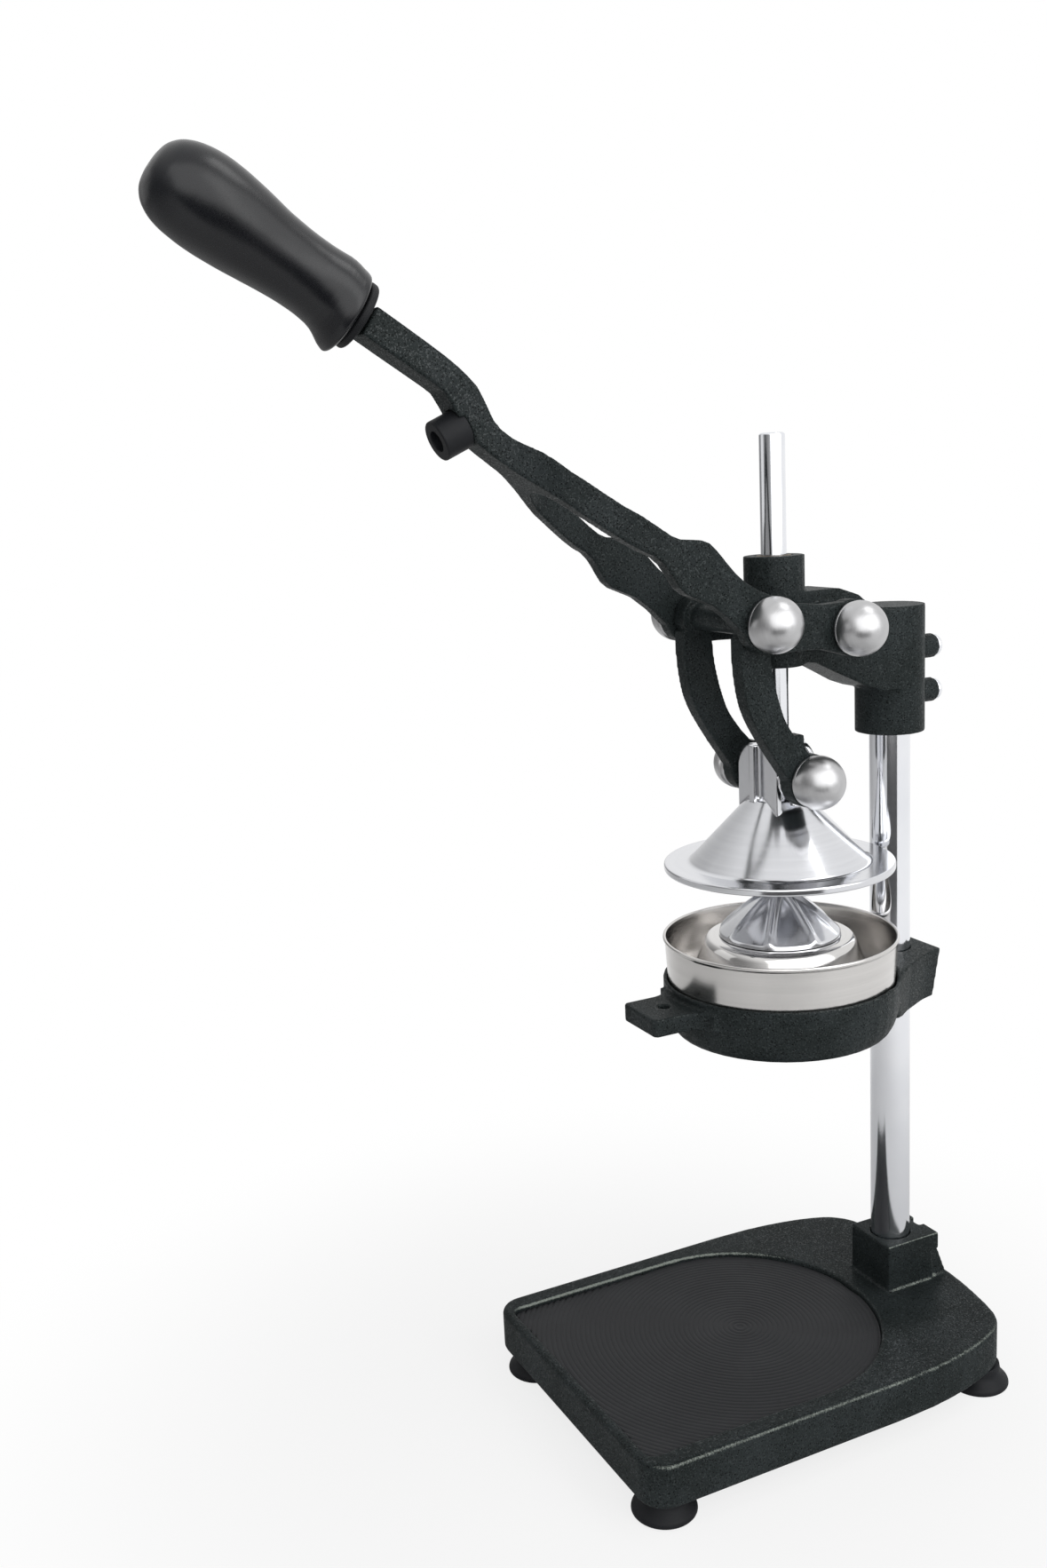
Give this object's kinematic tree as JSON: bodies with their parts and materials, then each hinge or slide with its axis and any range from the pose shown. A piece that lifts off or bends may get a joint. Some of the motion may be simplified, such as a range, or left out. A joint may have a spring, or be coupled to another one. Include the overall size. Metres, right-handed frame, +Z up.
{
  "type": "lever citrus juice press",
  "caption": "Free-standing hand press: a forked lever drives a sliding bell down a guide onto a reamer in a drained bowl on a column.",
  "frame": {"origin": "on the ground, at the middle of the press's outline", "axes": "+Z up; the user stands at -Y, where the grip points; X is across the press"},
  "size_m": [0.1616, 0.3766, 0.5886],
  "materials": {
    "cast_paint": "dark green-black hammered paint worn bright on the edges",
    "black_rubber": "matte black rubber",
    "grip_rubber": "satin black moulded grip",
    "chrome": "polished chrome plate",
    "cap_steel": "satin turned steel",
    "screw_steel": "zinc-plated steel",
    "brushed_steel": "brushed stainless steel",
    "polished_aluminium": "polished cast aluminium",
    "bush_bronze": "plain turned bronze"
  },
  "bodies": {
    "frame": {"base_casting": "cast_paint", "head_casting": "cast_paint", "holder_casting": "cast_paint", "drip_mat": "black_rubber", "foot_front_right": "black_rubber", "foot_front_left": "black_rubber", "foot_rear_right": "black_rubber", "foot_rear_left": "black_rubber", "column": "chrome", "clamp_nut_upper": "chrome", "clamp_nut_lower": "chrome", "pivot_cap_right": "cap_steel", "pivot_cap_left": "cap_steel", "foot_screw_front_right": "screw_steel", "foot_screw_front_left": "screw_steel", "foot_screw_rear_right": "screw_steel", "foot_screw_rear_left": "screw_steel", "base_set_screw": "screw_steel", "holder_set_screw": "screw_steel", "clamp_screw_upper": "screw_steel", "clamp_screw_lower": "screw_steel", "pivot_pin": "screw_steel", "guide_bush_upper": "bush_bronze", "guide_bush_lower": "bush_bronze"},
    "lever": {"lever_casting": "cast_paint", "grip_collar": "black_rubber", "grip": "grip_rubber", "lever_bumper": "black_rubber", "bumper_screw": "screw_steel", "link_pin": "screw_steel", "link_cap_right": "cap_steel", "link_cap_left": "cap_steel"},
    "yoke": {"yoke": "cast_paint", "bell_pin": "screw_steel", "bell_cap_right": "cap_steel", "bell_cap_left": "cap_steel"},
    "bell": {"press_bell": "polished_aluminium", "guide_rod": "chrome"},
    "bowl": {"bowl": "brushed_steel"},
    "strainer": {"strainer": "brushed_steel", "reamer_cone": "polished_aluminium"}
  },
  "joints": [
    {"name": "lever_pivot", "type": "hinge", "parent": "frame", "child": "lever", "pos_m": [0, 0.10798, 0.3846], "axis": [-1, 0, 0], "range_deg": [-40, 10]},
    {"name": "bell_slide", "type": "slide", "parent": "frame", "child": "bell", "axis": [0, 0, 1], "range_m": [-0.0329, 0.0083]},
    {"name": "yoke_pivot", "type": "hinge", "parent": "lever", "child": "yoke", "pos_m": [0, 0.06198, 0.39], "axis": [-1, 0, 0], "range_deg": [-10.9, 43.6]},
    {"name": "bowl_turn", "type": "hinge", "parent": "frame", "child": "bowl", "pos_m": [0, 0.09028, 0.2075], "axis": [0, 0, 1], "continuous": true},
    {"name": "strainer_turn", "type": "hinge", "parent": "bowl", "child": "strainer", "pos_m": [0, 0.09028, 0.2088], "axis": [0, 0, 1], "continuous": true}
  ],
  "couplings": [
    {"joint": "bell_slide", "follows": "lever_pivot", "m_per_rad": 0.047},
    {"joint": "yoke_pivot", "follows": "lever_pivot", "ratio": -1.09}
  ]
}
